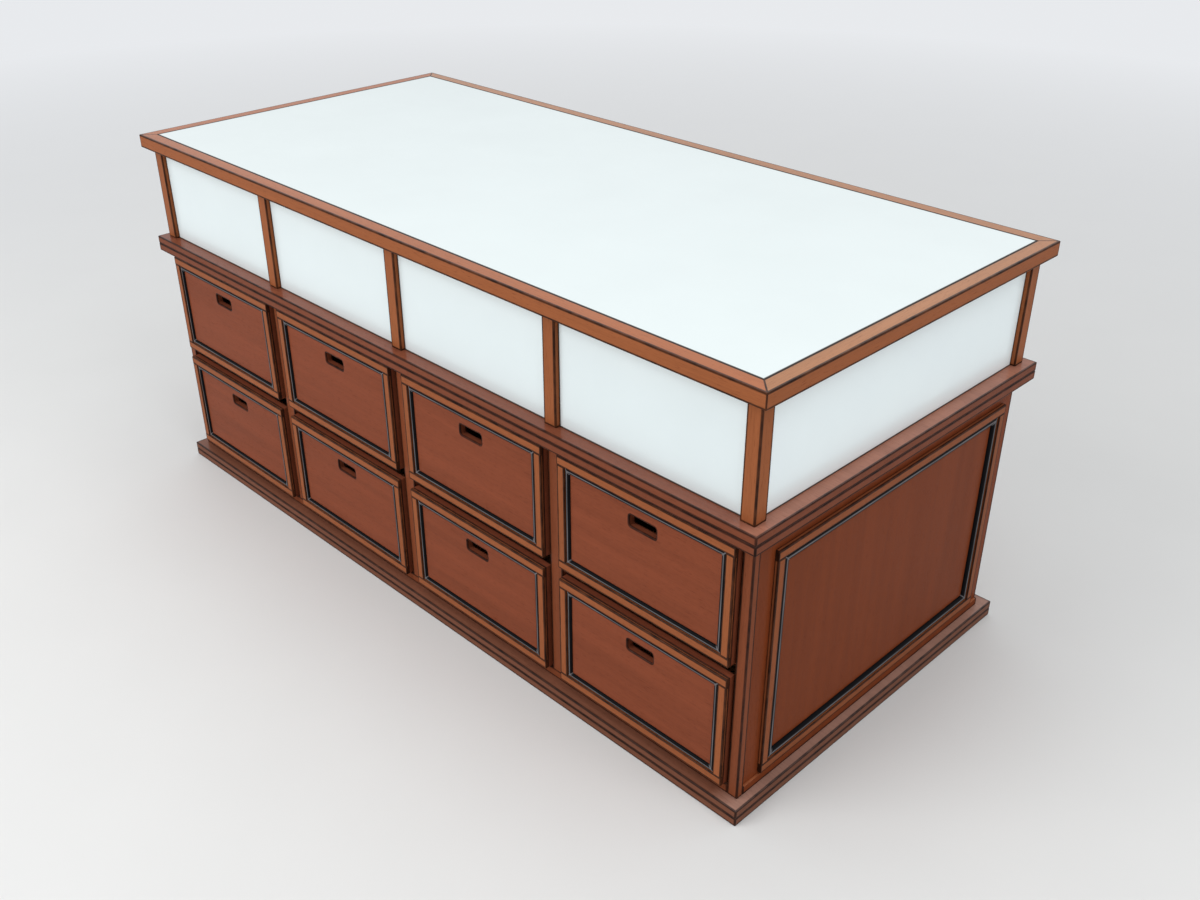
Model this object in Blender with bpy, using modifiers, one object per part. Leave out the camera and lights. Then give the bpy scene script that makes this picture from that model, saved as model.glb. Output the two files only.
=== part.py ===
"""Display counter: a drawer cabinet on a plinth, with an opal-glass showcase on its deck.

Metres, +Z up. X runs along the counter, -Y is the drawer side, and the origin is the middle of the base.
"""

import math

import bmesh
import bpy
from mathutils import Matrix, Vector

# Overall size
LENGTH = 2.000
DEPTH = 0.932
HEIGHT = 0.926
DECK_HEIGHT = 0.659

# Boards of the plinth and the cornice
PLINTH_BOARD = 0.019
CORNICE_BOARD = 0.0195
BOARD_ARRIS = 0.0015

# How far the plinth and the cornice stand out past the body
END_OVERHANG = 0.020
FRONT_OVERHANG = 0.026
REAR_OVERHANG = 0.036

# Body: face frame, end boards, partitions and back
FACE_FRAME = 0.0175
CORNER_STILE = 0.024
MIDDLE_STILE = 0.035
STILE_LAP = 0.002
STILE_ARRIS = 0.001
PANEL = 0.018
BACK_PANEL = 0.012
BACK_REBATE = 0.006
END_RECESS = 0.005
BASE_STRIP = 0.018
MIDDLE_RAIL_HEIGHT = 0.016
MIDDLE_RAIL_DEPTH = 0.019
MIDDLE_RAIL_SETBACK = 0.004
MIDDLE_RAIL_HOUSING = 0.006

# Drawer fronts: how many, and the gaps round them
COLUMNS = 4
ROW_NAMES = ("lower", "upper")
BOTTOM_REVEAL = 0.024
ROW_GAP = 0.027
TOP_REVEAL = 0.009
SIDE_GAP = 0.0055
RAIL_CLEARANCE = 0.002

# Drawer front: slab, hand slot, applied frame and bead
FRONT_SLAB = 0.018
FRONT_PROUD = 0.009
SLOT_LENGTH = 0.068
SLOT_HEIGHT = 0.025
SLOT_RADIUS = 0.005
SLOT_DROP = 0.064
FRAME_WIDTH = 0.020
FRAME_THICKNESS = 0.0065
FRAME_ARRIS = 0.001
BEAD_WIDTH = 0.0115
BEAD_RISE = 0.0045
BEAD_LIP = 0.0008

# Drawer box and what it runs on
BOX_SIDE = 0.012
BOX_FLOOR = 0.006
BOX_FLOOR_RISE = 0.010
BOX_BACK_DROP = 0.012
BOX_ARRIS = 0.003
BOX_RISE = 0.014
BOX_DROP = 0.032
BOX_REAR_SPACE = 0.149
BOX_CLEARANCE = 0.0075
RUNNER_THICKNESS = 0.016
RUNNER_LAP = 0.003
GUIDE_HEIGHT = 0.020
GUIDE_PLAY = 0.0005

# Frame and bead on each end board
END_FRAME_WIDTH = 0.020
END_FRAME_THICKNESS = 0.009
END_BEAD_WIDTH = 0.0175
END_BEAD_RISE = 0.0065
END_FRAME_FRONT = 0.048
END_FRAME_REAR = 0.037
END_FRAME_BOTTOM = 0.0245
END_FRAME_TOP = 0.0405

# Showcase: posts, rails and panes
SHOWCASE_INSET = 0.022
POST = 0.032
POST_ARRIS = 0.0015
FRONT_BAYS = 4
TOP_RAIL = 0.0325
TOP_RAIL_FACE = 0.032
PANE = 0.006
PANE_SETBACK = 0.011
PANE_LAP = 0.008
PANE_ARRIS = 0.0008
DECK_GROOVE = 0.004
RAIL_GROOVE = 0.006
TOP_PANE = 0.008
TOP_PANE_JOINT = 0.001

# Sliding doors at the back of the showcase
DOOR_PANE = 0.006
DOOR_SETBACK = 0.0075
DOOR_GAP = 0.005
DOOR_OVERLAP = 0.032
DOOR_END_CLEARANCE = 0.001
DOOR_TOP_GROOVE = 0.010
DOOR_LIFT = 0.004
GRIP_LENGTH = 0.070
GRIP_WIDTH = 0.022
GRIP_DEPTH = 0.0025
GRIP_FROM_END = 0.045

# The gap that two seated pieces keep
SEAT = 0.0003

# Facets on a rounded arris, a bead, a corner of the hand slot and a finger grip
ARRIS_FACETS = 2
BEAD_FACETS = 7
SLOT_FACETS = 5
GRIP_FACETS = 16

# Levels
PLINTH_TOP = 2 * PLINTH_BOARD
CORNICE_UNDERSIDE = DECK_HEIGHT - 2 * CORNICE_BOARD
RAIL_UNDERSIDE = HEIGHT - TOP_RAIL

# Planes across the length and the depth
HALF_LENGTH = LENGTH / 2
HALF_DEPTH = DEPTH / 2
STILE_FACE = FRONT_OVERHANG - HALF_DEPTH
STILE_BACK = STILE_FACE + FACE_FRAME
BODY_END = HALF_LENGTH - END_OVERHANG
BODY_REAR = HALF_DEPTH - REAR_OVERHANG
END_FACE = BODY_END - END_RECESS
END_INSIDE = END_FACE - PANEL
BACK_INSIDE = BODY_REAR - BACK_PANEL
POST_X = HALF_LENGTH - SHOWCASE_INSET - POST / 2
POST_Y = HALF_DEPTH - SHOWCASE_INSET - POST / 2

# Drawer openings and fronts
ROWS = len(ROW_NAMES)
OPENING_WIDTH = (2 * (BODY_END - CORNER_STILE) - (COLUMNS - 1) * MIDDLE_STILE) / COLUMNS
COLUMN_PITCH = OPENING_WIDTH + MIDDLE_STILE
FRONT_WIDTH = OPENING_WIDTH - 2 * SIDE_GAP
ROWS_HEIGHT = CORNICE_UNDERSIDE - PLINTH_TOP - BOTTOM_REVEAL - TOP_REVEAL
FRONT_HEIGHT = (ROWS_HEIGHT - (ROWS - 1) * ROW_GAP) / ROWS
ROW_PITCH = FRONT_HEIGHT + ROW_GAP
FIRST_ROW = PLINTH_TOP + BOTTOM_REVEAL
SLAB_FACE = STILE_FACE - FRONT_PROUD
BOX_WIDTH = OPENING_WIDTH - 2 * BOX_CLEARANCE
BOX_HEIGHT = FRONT_HEIGHT - BOX_RISE - BOX_DROP
BOX_FRONT = SLAB_FACE + FRONT_SLAB + SEAT
BOX_DEPTH = BACK_INSIDE - BOX_REAR_SPACE - BOX_FRONT

# Finishes as sRGB colour and roughness
FINISHES = {
    "board": ((148, 94, 68), 0.45),
    "stile": ((128, 74, 50), 0.45),
    "frame": ((160, 95, 60), 0.40),
    "front": ((132, 76, 54), 0.40),
    "end": ((116, 64, 44), 0.42),
    "inside": ((178, 136, 96), 0.60),
    "post": ((152, 91, 62), 0.40),
    "opal": ((230, 240, 239), 0.12),
}

# Outlines drawn in X and Z stand up when the object is turned about X
UPRIGHT = (math.pi / 2, 0, 0)


def new_collection(name):
    collection = bpy.data.collections.new(name)
    bpy.context.scene.collection.children.link(collection)
    return collection


def clear_scene():
    for old in list(bpy.data.objects):
        bpy.data.objects.remove(old, do_unlink=True)


clear_scene()
PARTS = new_collection("display_counter")
CUTTERS = new_collection("cutters")


def linear(channel):
    """A colour channel from 0 to 255 in sRGB, as the linear value that a shader takes."""
    share = channel / 255
    return share / 12.92 if share <= 0.04045 else ((share + 0.055) / 1.055) ** 2.4


def part(name, mesh, finish, location=(0, 0, 0), rotation=(0, 0, 0), parent=None):
    """One named piece with a material of its own."""
    obj = bpy.data.objects.new(name, mesh)
    PARTS.objects.link(obj)
    obj.location = location
    obj.rotation_euler = rotation
    obj.parent = parent
    colour, roughness = FINISHES[finish]
    material = bpy.data.materials.new(f"{name}_{finish}")
    material.use_nodes = True
    shader = material.node_tree.nodes["Principled BSDF"]
    shader.inputs["Base Color"].default_value = (*map(linear, colour), 1)
    shader.inputs["Roughness"].default_value = roughness
    shader.inputs["Metallic"].default_value = 0
    material.diffuse_color = (*map(linear, colour), 1)
    if not mesh.materials:
        mesh.materials.append(None)
    obj.material_slots[0].link = "OBJECT"
    obj.material_slots[0].material = material
    return obj


def mesh_of(shape, name):
    """The finished bmesh as a mesh, with its faces turned outwards."""
    bmesh.ops.recalc_face_normals(shape, faces=shape.faces)
    mesh = bpy.data.meshes.new(name)
    shape.to_mesh(mesh)
    shape.free()
    return mesh


def box_mesh(name, size):
    shape = bmesh.new()
    bmesh.ops.create_cube(shape, size=1)
    bmesh.ops.scale(shape, vec=size, verts=shape.verts)
    return mesh_of(shape, name)


def board(name, low, high, finish, arris=BOARD_ARRIS, facets=ARRIS_FACETS):
    """A board between two corners, with its arrises taken off."""
    low, high = Vector(low), Vector(high)
    obj = part(name, box_mesh(name, high - low), finish, (low + high) / 2)
    bevel = obj.modifiers.new("arrises", "BEVEL")
    bevel.width = arris
    bevel.segments = facets
    return obj


def pane_board(name, low, high):
    """A pane between two corners, with its edges ground."""
    return board(name, low, high, "opal", PANE_ARRIS, facets=1)


def cutter(name, mesh, location=(0, 0, 0)):
    """A shape that cuts or joins others, drawn as wire and left out of the render."""
    obj = bpy.data.objects.new(name, mesh)
    CUTTERS.objects.link(obj)
    obj.location = location
    obj.hide_render = True
    obj.display_type = "WIRE"
    return obj


def box_cutter(name, low, high):
    low, high = Vector(low), Vector(high)
    return cutter(name, box_mesh(name, high - low), (low + high) / 2)


def combine(obj, other, operation):
    modifier = obj.modifiers.new(other.name, "BOOLEAN")
    modifier.operation = operation
    modifier.object = other
    modifier.solver = "EXACT"


def softened(points, facets=ARRIS_FACETS):
    """An outline's points, with an arc in place of each right-angled corner that gives a radius."""
    outline = []
    for index, (x, y, *radius) in enumerate(points):
        corner = Vector((x, y))
        if not radius:
            outline.append(corner)
            continue
        before = (Vector(points[index - 1][:2]) - corner).normalized()
        after = (Vector(points[(index + 1) % len(points)][:2]) - corner).normalized()
        centre = corner + radius[0] * (before + after)
        for step in range(facets + 1):
            angle = math.pi / 2 * step / facets
            reach = after * math.cos(angle) + before * math.sin(angle)
            outline.append(centre - radius[0] * reach)
    return outline


def extruded_mesh(name, outline, length):
    """A flat outline in X and Y, extruded along Z to both sides of its plane."""
    shape = bmesh.new()
    face = shape.faces.new([shape.verts.new((x, y, -length / 2)) for x, y in outline])
    grown = bmesh.ops.extrude_face_region(shape, geom=[face], use_keep_orig=True)
    moved = [item for item in grown["geom"] if isinstance(item, bmesh.types.BMVert)]
    bmesh.ops.translate(shape, vec=(0, 0, length), verts=moved)
    return mesh_of(shape, name)


def moulding_mesh(name, width, height, profile):
    """A moulding carried round a rectangle, flat in X and Y.

    The profile's points are (inset from the outer edge, rise). One copy stands at each mitre, and the
    copies are bridged.
    """
    shape = bmesh.new()
    edges = []
    for side_x, side_y in ((1, 1), (-1, 1), (-1, -1), (1, -1)):
        loop = []
        for inset, rise in profile:
            place = (side_x * (width / 2 - inset), side_y * (height / 2 - inset), rise)
            loop.append(shape.verts.new(place))
        edges += [shape.edges.new((loop[i - 1], loop[i])) for i in range(len(loop))]
    bmesh.ops.bridge_loops(shape, edges=edges, use_cyclic=True)
    return mesh_of(shape, name)


def frame_profile(width, thickness, bead_width, bead_rise):
    """An applied frame's flat face, and the half-round bead that lies inside it on the panel."""
    points = [(0, 0), (0, thickness, FRAME_ARRIS), (width, thickness, FRAME_ARRIS)]
    profile = softened([*points, (width, 0)])[:-1]
    for step in range(BEAD_FACETS + 1):
        angle = math.pi * step / BEAD_FACETS
        rise = BEAD_LIP + (bead_rise - BEAD_LIP) * math.sin(angle)
        profile.append(Vector((width + bead_width * (1 - math.cos(angle)) / 2, rise)))
    profile.append(Vector((width + bead_width, 0)))
    return profile


def column_centre(column):
    return (column - (COLUMNS - 1) / 2) * COLUMN_PITCH


def row_bottom(row):
    return FIRST_ROW + row * ROW_PITCH


def build_plinth_and_cornice():
    levels = {
        "plinth_lower_board": (0, PLINTH_BOARD),
        "plinth_upper_board": (PLINTH_BOARD + SEAT, PLINTH_TOP),
        "cornice_lower_board": (CORNICE_UNDERSIDE + SEAT, CORNICE_UNDERSIDE + CORNICE_BOARD),
        "cornice_upper_board": (CORNICE_UNDERSIDE + CORNICE_BOARD + SEAT, DECK_HEIGHT),
    }
    for name, (bottom, top) in levels.items():
        low = (-HALF_LENGTH, -HALF_DEPTH, bottom)
        board(name, low, (HALF_LENGTH, HALF_DEPTH, top), "board")


def runner_points(face, side, box_side):
    """Outline points up a panel's face: out round each drawer runner, with the guide that stands on it."""
    ledge = box_side + side * (BOX_SIDE + RUNNER_LAP)
    guide = box_side - side * GUIDE_PLAY
    points = []
    for row in range(ROWS):
        bearing = row_bottom(row) + BOX_RISE - SEAT
        points += [
            (face, bearing - RUNNER_THICKNESS),
            (ledge, bearing - RUNNER_THICKNESS),
            (ledge, bearing),
            (guide, bearing),
            (guide, bearing + GUIDE_HEIGHT),
            (face, bearing + GUIDE_HEIGHT),
        ]
    return points


def back_rebate_cutter():
    """The space that the back panel takes from both end boards, open to the rear."""
    reach = END_INSIDE + BACK_REBATE
    low = (-reach, BACK_INSIDE - SEAT, PLINTH_TOP - PANEL)
    return box_cutter("back_rebate", low, (reach, BODY_REAR + PANEL, CORNICE_UNDERSIDE + PANEL))


def build_end(side, side_name, housings):
    """An end board with its base strip and runners, and the frame applied to it.

    housings are the cutters of what is let into the board.
    """
    bottom, top = PLINTH_TOP + SEAT, CORNICE_UNDERSIDE
    front, rear = STILE_BACK + SEAT, BODY_REAR
    box_side = column_centre(COLUMNS - 1) + BOX_WIDTH / 2
    outline = [
        (END_FACE, top),
        (END_FACE, bottom + BASE_STRIP),
        (BODY_END, bottom + BASE_STRIP, STILE_ARRIS),
        (BODY_END, bottom),
        (END_INSIDE, bottom),
        *runner_points(END_INSIDE, -1, box_side),
        (END_INSIDE, top),
    ]
    outline = [(side * x, z) for x, z in softened(outline)]
    name = f"end_board_{side_name}"
    mesh = extruded_mesh(name, outline, rear - front)
    end_board = part(name, mesh, "end", (0, (front + rear) / 2, 0), UPRIGHT)
    for housing in housings:
        combine(end_board, housing, "DIFFERENCE")

    frame_front, frame_rear = STILE_BACK + END_FRAME_FRONT, BODY_REAR - END_FRAME_REAR
    frame_bottom, frame_top = PLINTH_TOP + END_FRAME_BOTTOM, CORNICE_UNDERSIDE - END_FRAME_TOP
    name = f"end_frame_{side_name}"
    profile = frame_profile(END_FRAME_WIDTH, END_FRAME_THICKNESS, END_BEAD_WIDTH, END_BEAD_RISE)
    mesh = moulding_mesh(name, frame_rear - frame_front, frame_top - frame_bottom, profile)
    middle = (side * (END_FACE + SEAT), (frame_front + frame_rear) / 2, (frame_bottom + frame_top) / 2)
    part(name, mesh, "frame", middle, (math.pi / 2, 0, side * math.pi / 2))


def build_face_frame():
    bottom, top = PLINTH_TOP + SEAT, CORNICE_UNDERSIDE
    inner = BODY_END - CORNER_STILE
    for side_name, low_x, high_x in (("left", -BODY_END, -inner), ("right", inner, BODY_END)):
        low, high = (low_x, STILE_FACE, bottom), (high_x, STILE_BACK, top)
        board(f"corner_stile_{side_name}", low, high, "stile", STILE_ARRIS)
    rail_end, rail_top = inner - SEAT, FIRST_ROW - RAIL_CLEARANCE
    low, high = (-rail_end, STILE_FACE, bottom), (rail_end, STILE_BACK, rail_top)
    board("bottom_rail", low, high, "stile", STILE_ARRIS)
    board("middle_rail", *middle_rail_corners(), "stile", STILE_ARRIS)
    back_end = END_INSIDE + BACK_REBATE - SEAT
    low, high = (-back_end, BACK_INSIDE, bottom), (back_end, BODY_REAR, top)
    board("back_panel", low, high, "end", STILE_ARRIS)


def middle_rail_corners():
    """The rail between the drawer rows, notched through the partitions and housed in the end boards."""
    front = STILE_BACK + MIDDLE_RAIL_SETBACK
    middle = row_bottom(1) - ROW_GAP / 2
    reach = END_INSIDE + MIDDLE_RAIL_HOUSING - SEAT
    low = Vector((-reach, front, middle - MIDDLE_RAIL_HEIGHT / 2))
    return low, Vector((reach, front + MIDDLE_RAIL_DEPTH, middle + MIDDLE_RAIL_HEIGHT / 2))


def middle_rail_cutter():
    """The notches and housings that the middle rail lies in."""
    low, high = middle_rail_corners()
    clearance = Vector((SEAT, SEAT, SEAT))
    return box_cutter("middle_rail_notch", low - clearance, high + clearance)


def middle_stile_mesh(height):
    """A stile's section, with its two front arrises rounded, lapped back over the panel's front edge."""
    half = MIDDLE_STILE / 2
    back = FACE_FRAME + STILE_LAP
    section = [(-half, 0, STILE_ARRIS), (half, 0, STILE_ARRIS), (half, back), (-half, back)]
    return extruded_mesh("middle_stile", softened(section), height)


def build_partitions(rail_notch):
    """Panels between the drawer columns, each with its runners and with a stile lapped on its front edge."""
    bottom, top = PLINTH_TOP + SEAT, CORNICE_UNDERSIDE - SEAT
    front, rear = STILE_BACK + SEAT, BACK_INSIDE - SEAT
    box_side = COLUMN_PITCH / 2 - BOX_WIDTH / 2
    right_face = runner_points(PANEL / 2, 1, box_side)
    right_side = [(PANEL / 2, bottom), *right_face, (PANEL / 2, top)]
    outline = right_side + [(-x, z) for x, z in reversed(right_side)]
    mesh = extruded_mesh("partition", outline, rear - front)
    stile_bottom = FIRST_ROW - RAIL_CLEARANCE + SEAT
    stile_mesh = middle_stile_mesh(CORNICE_UNDERSIDE - stile_bottom)
    stile_middle = (stile_bottom + CORNICE_UNDERSIDE) / 2
    for number in range(1, COLUMNS):
        x = (number - COLUMNS / 2) * COLUMN_PITCH
        panel = part(f"partition_{number}", mesh, "stile", (x, (front + rear) / 2, 0), UPRIGHT)
        stile = cutter(f"middle_stile_{number}", stile_mesh, (x, STILE_FACE, stile_middle))
        combine(panel, rail_notch, "DIFFERENCE")
        combine(panel, stile, "UNION")


def baked_mesh(mesh, other, operation):
    """A mesh that many pieces share, with another shape cut from it or joined to it once for all."""
    master = cutter(mesh.name, mesh)
    combine(master, other, operation)
    graph = bpy.context.evaluated_depsgraph_get()
    baked = bpy.data.meshes.new_from_object(master.evaluated_get(graph))
    bpy.data.objects.remove(master)
    bpy.data.objects.remove(other)
    return baked


def drawer_front_mesh():
    """The slab behind the frame, with its hand slot cut through."""
    slab = box_mesh("drawer_front", (FRONT_WIDTH, FRONT_HEIGHT, FRONT_SLAB))
    corners = []
    for side_x, side_y in ((-1, -1), (1, -1), (1, 1), (-1, 1)):
        corners.append((side_x * SLOT_LENGTH / 2, side_y * SLOT_HEIGHT / 2, SLOT_RADIUS))
    slot_mesh = extruded_mesh("hand_slot", softened(corners, SLOT_FACETS), 2 * FRONT_SLAB)
    slot = cutter("hand_slot", slot_mesh, (0, FRONT_HEIGHT / 2 - SLOT_DROP, 0))
    return baked_mesh(slab, slot, "DIFFERENCE")


def drawer_box_mesh():
    """Two sides and a floor drawn as one section, with the back let in between them."""
    half = BOX_WIDTH / 2
    inside = half - BOX_SIDE
    floor_top = BOX_FLOOR_RISE + BOX_FLOOR
    right = [(inside, BOX_FLOOR_RISE), (inside, 0), (half, 0), (half, BOX_HEIGHT, BOX_ARRIS)]
    right += [(inside, BOX_HEIGHT, BOX_ARRIS), (inside, floor_top)]
    left = [(-x, *rest) for x, *rest in reversed(right)]
    tray = extruded_mesh("drawer_box", softened(right + left), BOX_DEPTH)
    low = (-inside - BOX_SIDE / 2, floor_top - BOX_FLOOR / 2, -BOX_DEPTH / 2)
    high = (inside + BOX_SIDE / 2, BOX_HEIGHT - BOX_BACK_DROP, BOX_SIDE - BOX_DEPTH / 2)
    return baked_mesh(tray, box_cutter("box_back", low, high), "UNION")


def build_drawers():
    """Each drawer hangs on an empty that lies on its slide, in the middle of its front."""
    profile = frame_profile(FRAME_WIDTH, FRAME_THICKNESS, BEAD_WIDTH, BEAD_RISE)
    front_mesh = drawer_front_mesh()
    frame_mesh = moulding_mesh("drawer_frame", FRONT_WIDTH, FRONT_HEIGHT, profile)
    tray_mesh = drawer_box_mesh()
    for row, row_name in enumerate(ROW_NAMES):
        for column in range(COLUMNS):
            drawer = f"{row_name}_{column + 1}"
            slide = bpy.data.objects.new(f"drawer_slide_{drawer}", None)
            PARTS.objects.link(slide)
            slide.location = (column_centre(column), SLAB_FACE, row_bottom(row) + FRONT_HEIGHT / 2)
            part(f"drawer_front_{drawer}", front_mesh, "front", (0, FRONT_SLAB / 2, 0), UPRIGHT, slide)
            part(f"drawer_frame_{drawer}", frame_mesh, "frame", (0, -SEAT, 0), UPRIGHT, slide)
            box_place = (0, BOX_FRONT - SLAB_FACE + BOX_DEPTH / 2, BOX_RISE - FRONT_HEIGHT / 2)
            part(f"drawer_box_{drawer}", tray_mesh, "inside", box_place, UPRIGHT, slide)


def post_outline(grooves):
    """A square post's section. grooves gives the place of a pane's groove along each face that has one.

    Faces count round from the front, and a place is measured along the face, anticlockwise.
    """
    half = POST / 2
    groove_half = PANE / 2 + SEAT
    outline = []
    for face in range(4):
        points = [(-half, -half, POST_ARRIS)]
        if face in grooves:
            start, end = grooves[face] - groove_half, grooves[face] + groove_half
            points += [(start, -half), (start, PANE_LAP - half), (end, PANE_LAP - half), (end, -half)]
        turn = Matrix.Rotation(face * math.pi / 2, 2)
        outline += [(*(turn @ Vector(point[:2])), *point[2:]) for point in points]
    return softened(outline)


def build_posts():
    """Posts and mullions, with grooves for the panes between them."""
    bottom, top = DECK_HEIGHT + SEAT, RAIL_UNDERSIDE
    off = POST / 2 - PANE_SETBACK - PANE / 2
    posts = {
        "front_post_left": (-POST_X, -POST_Y, {1: -off, 2: off}),
        "front_post_right": (POST_X, -POST_Y, {3: off, 2: -off}),
        "rear_post_left": (-POST_X, POST_Y, {0: -off}),
        "rear_post_right": (POST_X, POST_Y, {0: off}),
    }
    for number in range(1, FRONT_BAYS):
        x = (2 * number / FRONT_BAYS - 1) * POST_X
        posts[f"mullion_{number}"] = (x, -POST_Y, {1: -off, 3: off})
    for name, (x, y, grooves) in posts.items():
        mesh = extruded_mesh(name, post_outline(grooves), top - bottom)
        part(name, mesh, "post", (x, y, (bottom + top) / 2))


def top_rail_outline(grooves):
    """A top rail's section: how far in from its outer face, and height above its underside.

    The top pane lies in the rebate, and the panes or doors below run in the grooves.
    """
    height = TOP_RAIL - SEAT
    width = SHOWCASE_INSET + POST
    ledge = height - TOP_PANE - SEAT
    points = [(0, 0, POST_ARRIS)]
    for start, end, deep in grooves:
        points += [(start, 0), (start, deep), (end, deep), (end, 0)]
    points += [(width, 0), (width, ledge), (TOP_RAIL_FACE, ledge)]
    points += [(TOP_RAIL_FACE, height, POST_ARRIS / 2), (0, height, POST_ARRIS)]
    return softened(points)


def mitre(mesh, length):
    """Cuts both ends of a rail at 45 degrees in plan. Its section lies in X and Y, and its length along Z."""
    shape = bmesh.new()
    shape.from_mesh(mesh)
    for end in (-1, 1):
        everything = [*shape.verts, *shape.edges, *shape.faces]
        corner = Vector((0, 0, end * (length - SEAT) / 2))
        normal = Vector((1, 0, end)).normalized()
        plane = {"plane_co": corner, "plane_no": normal}
        cut = bmesh.ops.bisect_plane(shape, geom=everything, clear_outer=True, **plane)
        rim = [item for item in cut["geom_cut"] if isinstance(item, bmesh.types.BMEdge)]
        bmesh.ops.contextual_create(shape, geom=rim)
    bmesh.ops.recalc_face_normals(shape, faces=shape.faces)
    shape.to_mesh(mesh)
    shape.free()


def door_tracks():
    """The sliding doors' two tracks, outer then inner, as distances from the rear rail's outer face."""
    outer = SHOWCASE_INSET + DOOR_SETBACK
    inner = outer + DOOR_PANE + DOOR_GAP
    return [(start - SEAT, start + DOOR_PANE + SEAT) for start in (outer, inner)]


def build_top_rails():
    pane_start = SHOWCASE_INSET + PANE_SETBACK - SEAT
    pane_groove = [(pane_start, pane_start + PANE + 2 * SEAT, RAIL_GROOVE)]
    door_grooves = [(start, end, DOOR_TOP_GROOVE) for start, end in door_tracks()]
    rails = {
        "top_rail_front": (LENGTH, HALF_DEPTH, pane_groove, 0),
        "top_rail_right": (DEPTH, HALF_LENGTH, pane_groove, 1),
        "top_rail_rear": (LENGTH, HALF_DEPTH, door_grooves, 2),
        "top_rail_left": (DEPTH, HALF_LENGTH, pane_groove, 3),
    }
    for name, (length, reach, grooves, quarter_turns) in rails.items():
        mesh = extruded_mesh(name, top_rail_outline(grooves), length)
        mitre(mesh, length)
        turn = quarter_turns * math.pi / 2
        place = Matrix.Rotation(turn, 3, "Z") @ Vector((0, -reach, RAIL_UNDERSIDE + SEAT))
        part(name, mesh, "post", place, (math.pi / 2, 0, turn + math.pi / 2))


def build_panes():
    """Opal panes in the grooves of the posts, the rails and the deck, and the top pane in its rebate."""
    bottom, top = DECK_HEIGHT - DECK_GROOVE + SEAT, RAIL_UNDERSIDE + RAIL_GROOVE
    lap = PANE_LAP - SEAT - POST / 2
    front = PANE_SETBACK + SHOWCASE_INSET - HALF_DEPTH
    grooves = []
    for bay in range(FRONT_BAYS):
        low = ((2 * bay / FRONT_BAYS - 1) * POST_X - lap, front, bottom)
        high = ((2 * (bay + 1) / FRONT_BAYS - 1) * POST_X + lap, front + PANE, top)
        pane_board(f"front_pane_{bay + 1}", low, high)
    grooves.append(((-POST_X - lap, front), (POST_X + lap, front + PANE)))
    outer = HALF_LENGTH - SHOWCASE_INSET - PANE_SETBACK
    for name, start in (("left", -outer), ("right", outer - PANE)):
        low, high = (start, -POST_Y - lap), (start + PANE, POST_Y + lap)
        pane_board(f"end_pane_{name}", (*low, bottom), (*high, top))
        grooves.append((low, high))
    half_x = HALF_LENGTH - TOP_RAIL_FACE - TOP_PANE_JOINT
    half_y = HALF_DEPTH - TOP_RAIL_FACE - TOP_PANE_JOINT
    low = (-half_x, -half_y, HEIGHT - TOP_PANE)
    pane_board("top_pane", low, (half_x, half_y, HEIGHT))
    return grooves


def grip_cutter(name, place):
    """The hollow that is ground into a door as a finger grip: a long flat ellipsoid."""
    shape = bmesh.new()
    bmesh.ops.create_uvsphere(shape, u_segments=GRIP_FACETS, v_segments=GRIP_FACETS // 2, radius=0.5)
    bmesh.ops.scale(shape, vec=(GRIP_WIDTH, 2 * GRIP_DEPTH, GRIP_LENGTH), verts=shape.verts)
    return cutter(name, mesh_of(shape, name), place)


def build_doors():
    """Two panes that slide past each other along the back, each with a finger grip near its outer end."""
    bottom = DECK_HEIGHT - DECK_GROOVE + SEAT
    top = RAIL_UNDERSIDE + SEAT + DOOR_TOP_GROOVE - DOOR_LIFT
    reach = POST_X - POST / 2 - DOOR_END_CLEARANCE
    grooves = []
    for side_name, side, (start, end) in zip(("left", "right"), (-1, 1), door_tracks()):
        rear, front = HALF_DEPTH - start - SEAT, HALF_DEPTH - end + SEAT
        ends = sorted((side * reach, -side * DOOR_OVERLAP / 2))
        low, high = (ends[0], front, bottom), (ends[1], rear, top)
        door = pane_board(f"rear_door_{side_name}", low, high)
        grip_place = (side * (reach - GRIP_FROM_END), rear, (bottom + top) / 2)
        combine(door, grip_cutter(f"grip_{side_name}", grip_place), "DIFFERENCE")
        grooves.append(((-reach, front), (reach, rear)))
    return grooves


def cut_deck_grooves(grooves):
    """Grooves in the deck, each as long as what stands or slides in it."""
    deck = PARTS.objects["cornice_upper_board"]
    for number, (low, high) in enumerate(grooves):
        bottom_corner = (low[0] - SEAT, low[1] - SEAT, DECK_HEIGHT - DECK_GROOVE)
        top_corner = (high[0] + SEAT, high[1] + SEAT, DECK_HEIGHT + DECK_GROOVE)
        combine(deck, box_cutter(f"deck_groove_{number}", bottom_corner, top_corner), "DIFFERENCE")


build_plinth_and_cornice()
build_face_frame()
middle_rail_notch = middle_rail_cutter()
build_partitions(middle_rail_notch)
end_housings = (back_rebate_cutter(), middle_rail_notch)
build_end(-1, "left", end_housings)
build_end(1, "right", end_housings)
build_drawers()
build_posts()
build_top_rails()
cut_deck_grooves(build_panes() + build_doors())
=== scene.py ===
# %% [markdown]
# # A display counter, dressed
# The counter is a drawer cabinet on a plinth, with a low showcase of opal glass on its deck. Its solids
# come from an imported model, the fixed frame: nothing in it is moved. We give the solids
# their finishes, and swap many for finer surfaces, worked out as arrays.

# %% Load the frame
import math

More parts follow.
